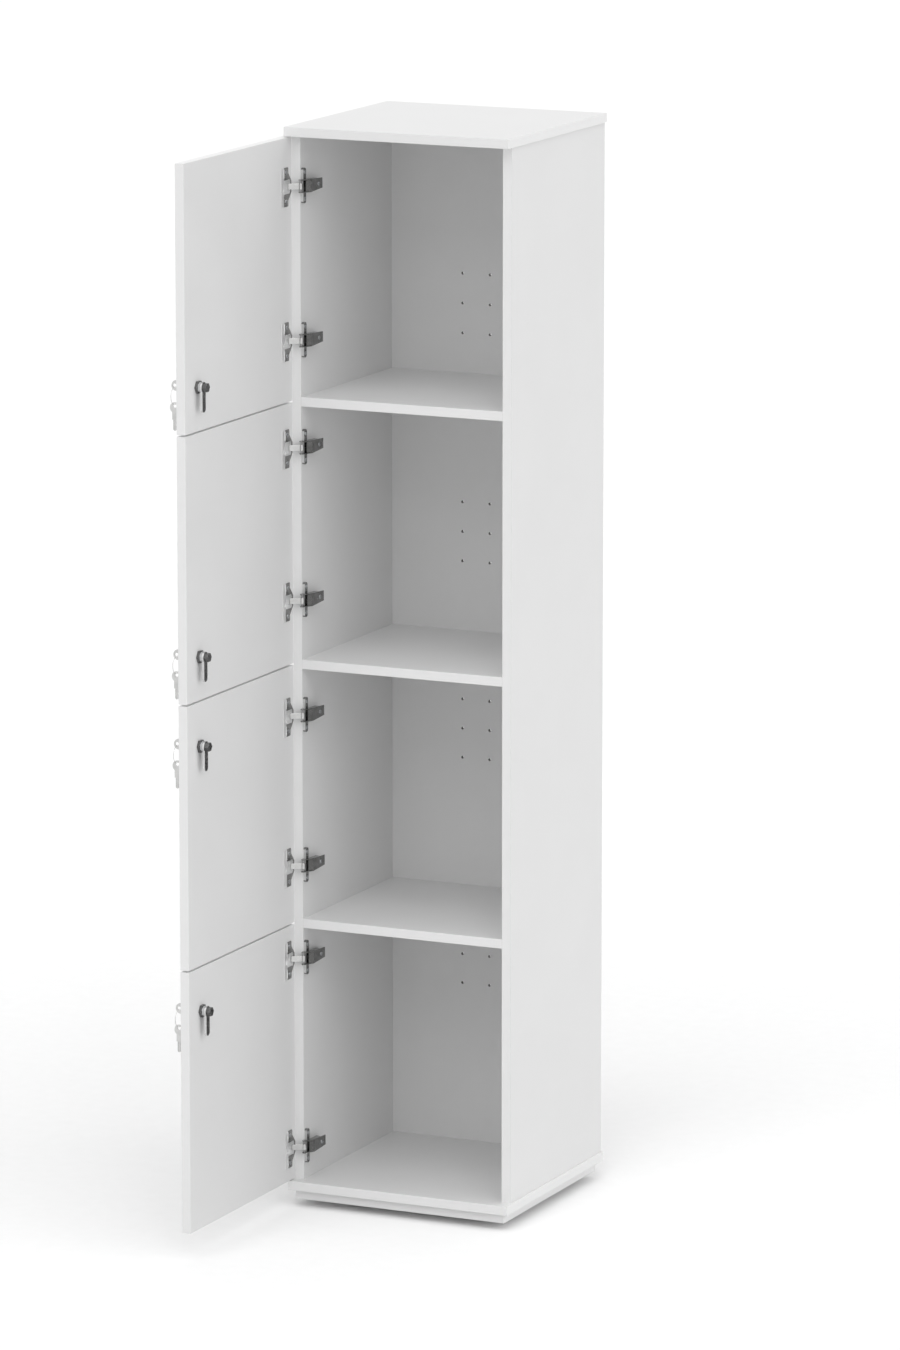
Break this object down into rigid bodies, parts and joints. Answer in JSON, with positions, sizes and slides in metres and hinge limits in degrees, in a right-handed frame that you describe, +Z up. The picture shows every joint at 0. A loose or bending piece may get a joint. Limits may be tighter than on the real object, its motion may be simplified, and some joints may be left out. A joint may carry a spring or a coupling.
{
  "type": "locker cabinet",
  "caption": "Tall narrow locker cabinet of white faced board with stacked compartments, side-hung doors on concealed hinges, cam locks and hanging keys.",
  "frame": {"origin": "on the floor, midway between the side panels and midway along their depth", "axes": "+X to the right seen from the front, +Y to the back, +Z up"},
  "size_m": [0.452, 0.778, 1.843],
  "materials": {
    "melamine_board": "white melamine-faced chipboard with matching edge banding",
    "beech_dowel": "plain fluted beech dowel",
    "foot_plastic": "black moulded plastic",
    "hinge_nickel": "nickel-plated pressed steel",
    "link_steel": "bright nickel-plated steel",
    "screw_zinc": "zinc-plated steel",
    "lock_chrome": "polished chrome on die-cast zinc",
    "cam_steel": "nickel-plated steel",
    "key_steel": "nickel-plated stamped steel"
  },
  "bodies": {
    "carcass": {"top_panel": "melamine_board", "bottom_panel": "melamine_board", "left_side": "melamine_board", "right_side": "melamine_board", "back_panel": "melamine_board", "shelf_1": "melamine_board", "shelf_2": "melamine_board", "shelf_3": "melamine_board", "plinth_board": "melamine_board", "levelling_feet": "foot_plastic", "carcass_dowels": "beech_dowel", "hinge_pins": "link_steel", "plate_screws": "screw_zinc", "arm_screws": "screw_zinc", "base_screws": "screw_zinc", "door_1_hinge_plates": "hinge_nickel", "door_1_hinge_arms": "hinge_nickel", "door_2_hinge_plates": "hinge_nickel", "door_2_hinge_arms": "hinge_nickel", "door_3_hinge_plates": "hinge_nickel", "door_3_hinge_arms": "hinge_nickel", "door_4_hinge_plates": "hinge_nickel", "door_4_hinge_arms": "hinge_nickel"},
    "door_1": {"door_1": "melamine_board", "door_1_hinge_cups": "hinge_nickel", "door_1_cup_screws": "screw_zinc", "lock_1_housing": "lock_chrome"},
    "links_1": {"door_1_hinge_links": "link_steel"},
    "lock_1": {"lock_1_plug": "lock_chrome", "lock_1_cam": "cam_steel", "lock_1_key": "key_steel"},
    "spare_key_1": {"lock_1_spare_key": "key_steel"},
    "door_2": {"door_2": "melamine_board", "door_2_hinge_cups": "hinge_nickel", "door_2_cup_screws": "screw_zinc", "lock_2_housing": "lock_chrome"},
    "links_2": {"door_2_hinge_links": "link_steel"},
    "lock_2": {"lock_2_plug": "lock_chrome", "lock_2_cam": "cam_steel", "lock_2_key": "key_steel"},
    "spare_key_2": {"lock_2_spare_key": "key_steel"},
    "door_3": {"door_3": "melamine_board", "door_3_hinge_cups": "hinge_nickel", "door_3_cup_screws": "screw_zinc", "lock_3_housing": "lock_chrome"},
    "links_3": {"door_3_hinge_links": "link_steel"},
    "lock_3": {"lock_3_plug": "lock_chrome", "lock_3_cam": "cam_steel", "lock_3_key": "key_steel"},
    "spare_key_3": {"lock_3_spare_key": "key_steel"},
    "door_4": {"door_4": "melamine_board", "door_4_hinge_cups": "hinge_nickel", "door_4_cup_screws": "screw_zinc", "lock_4_housing": "lock_chrome"},
    "links_4": {"door_4_hinge_links": "link_steel"},
    "lock_4": {"lock_4_plug": "lock_chrome", "lock_4_cam": "cam_steel", "lock_4_key": "key_steel"},
    "spare_key_4": {"lock_4_spare_key": "key_steel"}
  },
  "joints": [
    {"name": "door_1_swing", "type": "hinge", "parent": "carcass", "child": "door_1", "pos_m": [-0.199, -0.192, 1.6045], "axis": [0, 0, 1], "range_deg": [0, 90]},
    {"name": "links_1_turn", "type": "hinge", "parent": "carcass", "child": "links_1", "pos_m": [-0.1814, -0.1932, 1.6045], "axis": [0, 0, 1], "range_deg": [0, 135]},
    {"name": "lock_1_turn", "type": "hinge", "parent": "door_1", "child": "lock_1", "pos_m": [-0.214, -0.544, 1.4565], "axis": [1, 0, 0], "range_deg": [-90, 0]},
    {"name": "spare_key_1_swing", "type": "hinge", "parent": "lock_1", "child": "spare_key_1", "pos_m": [-0.239, -0.544, 1.45475], "axis": [1, 0, 0], "range_deg": [-20, 20]},
    {"name": "door_2_swing", "type": "hinge", "parent": "carcass", "child": "door_2", "pos_m": [-0.199, -0.192, 1.1595], "axis": [0, 0, 1], "range_deg": [0, 90]},
    {"name": "links_2_turn", "type": "hinge", "parent": "carcass", "child": "links_2", "pos_m": [-0.1814, -0.1932, 1.1595], "axis": [0, 0, 1], "range_deg": [0, 135]},
    {"name": "lock_2_turn", "type": "hinge", "parent": "door_2", "child": "lock_2", "pos_m": [-0.214, -0.544, 1.0115], "axis": [1, 0, 0], "range_deg": [-90, 0]},
    {"name": "spare_key_2_swing", "type": "hinge", "parent": "lock_2", "child": "spare_key_2", "pos_m": [-0.239, -0.544, 1.00975], "axis": [1, 0, 0], "range_deg": [-20, 20]},
    {"name": "door_3_swing", "type": "hinge", "parent": "carcass", "child": "door_3", "pos_m": [-0.199, -0.192, 0.7145], "axis": [0, 0, 1], "range_deg": [0, 90]},
    {"name": "links_3_turn", "type": "hinge", "parent": "carcass", "child": "links_3", "pos_m": [-0.1814, -0.1932, 0.7145], "axis": [0, 0, 1], "range_deg": [0, 135]},
    {"name": "lock_3_turn", "type": "hinge", "parent": "door_3", "child": "lock_3", "pos_m": [-0.214, -0.544, 0.8625], "axis": [1, 0, 0], "range_deg": [-90, 0]},
    {"name": "spare_key_3_swing", "type": "hinge", "parent": "lock_3", "child": "spare_key_3", "pos_m": [-0.239, -0.544, 0.86075], "axis": [1, 0, 0], "range_deg": [-20, 20]},
    {"name": "door_4_swing", "type": "hinge", "parent": "carcass", "child": "door_4", "pos_m": [-0.199, -0.192, 0.2695], "axis": [0, 0, 1], "range_deg": [0, 90]},
    {"name": "links_4_turn", "type": "hinge", "parent": "carcass", "child": "links_4", "pos_m": [-0.1814, -0.1932, 0.2695], "axis": [0, 0, 1], "range_deg": [0, 135]},
    {"name": "lock_4_turn", "type": "hinge", "parent": "door_4", "child": "lock_4", "pos_m": [-0.214, -0.544, 0.4175], "axis": [1, 0, 0], "range_deg": [-90, 0]},
    {"name": "spare_key_4_swing", "type": "hinge", "parent": "lock_4", "child": "spare_key_4", "pos_m": [-0.239, -0.544, 0.41575], "axis": [1, 0, 0], "range_deg": [-20, 20]}
  ],
  "couplings": [
    {"joint": "links_1_turn", "follows": "door_1_swing", "ratio": 1.5},
    {"joint": "links_2_turn", "follows": "door_2_swing", "ratio": 1.5},
    {"joint": "links_3_turn", "follows": "door_3_swing", "ratio": 1.5},
    {"joint": "links_4_turn", "follows": "door_4_swing", "ratio": 1.5}
  ]
}
